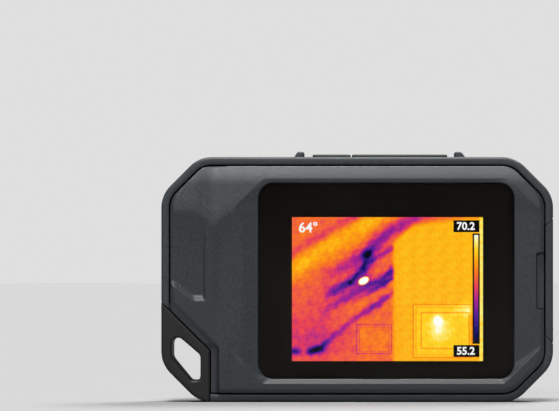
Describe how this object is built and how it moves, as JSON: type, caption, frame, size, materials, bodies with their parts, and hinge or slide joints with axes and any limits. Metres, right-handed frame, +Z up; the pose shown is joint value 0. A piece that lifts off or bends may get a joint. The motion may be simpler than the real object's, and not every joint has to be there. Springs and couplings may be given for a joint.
{
  "type": "thermal imaging camera",
  "caption": "Compact rugged thermal imaging camera with a rubber grip, touch screen, infrared and visible lenses, torch, keys, socket flap and strap eye.",
  "frame": {"origin": "middle of the long bottom edge that the camera stands on, centred in width and thickness", "axes": "+X to the right seen from the screen side, +Y out of the lens side, -Y out of the screen, +Z up"},
  "size_m": [0.125, 0.024, 0.08],
  "materials": {
    "rubber": "fine matt moulding texture",
    "hard_plastic": "matt",
    "slate_plastic": "fine spark-eroded texture",
    "black_plastic": "satin",
    "ring_plastic": "semi-gloss",
    "white_plastic": "semi-gloss",
    "cover_glass": "black-printed glass, polished",
    "screen": "lit display",
    "taupe_metal": "bead-blasted and anodised",
    "bare_metal": "plain",
    "circuit_board": "solder mask",
    "flex": "polyimide film",
    "silicone": "matt",
    "battery": "foil pouch",
    "infrared_lens": "green anti-reflection coating",
    "torch_lens": "translucent"
  },
  "bodies": {
    "root": {"lens_side_shell": "hard_plastic", "grip_overmould": "rubber", "screen_side_shell": "slate_plastic", "housing_seal": "silicone", "lanyard_loop": "black_plastic", "loop_screw_1": "bare_metal", "loop_screw_2": "bare_metal", "case_screw_1": "bare_metal", "case_screw_2": "bare_metal", "case_screw_3": "bare_metal", "case_screw_4": "bare_metal", "usb_cover_strap": "rubber", "usb_socket": "bare_metal", "key_membrane": "silicone", "power_switch": "bare_metal", "save_switch": "bare_metal", "key_board": "circuit_board", "key_flex": "flex", "cover_glass": "cover_glass", "glass_gasket": "silicone", "lcd_panel": "screen", "lcd_backlight": "white_plastic", "display_frame": "bare_metal", "lcd_flex": "flex", "touch_flex": "flex", "main_board": "circuit_board", "board_screw_1": "bare_metal", "board_screw_2": "bare_metal", "board_screw_3": "bare_metal", "processor_shield": "bare_metal", "thermal_pad": "silicone", "memory_chip": "black_plastic", "battery": "battery", "battery_pad": "silicone", "battery_connector": "white_plastic", "battery_lead": "flex", "lens_plate": "taupe_metal", "lens_ring": "ring_plastic", "lens_bridge_plate": "taupe_metal", "camera_bracket": "bare_metal", "ir_lens_barrel": "black_plastic", "ir_lens": "infrared_lens", "ir_lens_o_ring": "silicone", "camera_window": "black_plastic", "camera_lens": "black_plastic", "camera_module": "black_plastic", "camera_flex": "flex", "shutter_housing": "black_plastic", "shutter_motor": "bare_metal", "ir_sensor_core": "bare_metal", "sensor_board": "circuit_board", "torch_bezel": "white_plastic", "torch_lens": "torch_lens", "torch_led": "torch_lens", "torch_board": "circuit_board"},
    "power_button": {"power_button": "black_plastic"},
    "save_button": {"save_button": "black_plastic"},
    "usb_cover": {"usb_cover": "rubber"},
    "shutter_blade": {"shutter_blade": "bare_metal"}
  },
  "joints": [
    {"name": "power_press", "type": "slide", "parent": "root", "child": "power_button", "axis": [0, 0, -1], "range_m": [0, 0.0005], "stiffness_N_per_m": 1500, "springref_m": -0.0005},
    {"name": "save_press", "type": "slide", "parent": "root", "child": "save_button", "axis": [0, 0, -1], "range_m": [0, 0.0005], "stiffness_N_per_m": 1500, "springref_m": -0.0005},
    {"name": "usb_cover_hinge", "type": "hinge", "parent": "root", "child": "usb_cover", "pos_m": [0.053, 0.00984, 0.039], "axis": [0, 0, 1], "range_deg": [0, 100], "stiffness_Nm_per_rad": 0.01},
    {"name": "shutter_swing", "type": "hinge", "parent": "root", "child": "shutter_blade", "pos_m": [-0.033, 0.00295, 0.041], "axis": [0, -1, 0], "range_deg": [0, 52], "stiffness_Nm_per_rad": 0.0001}
  ]
}
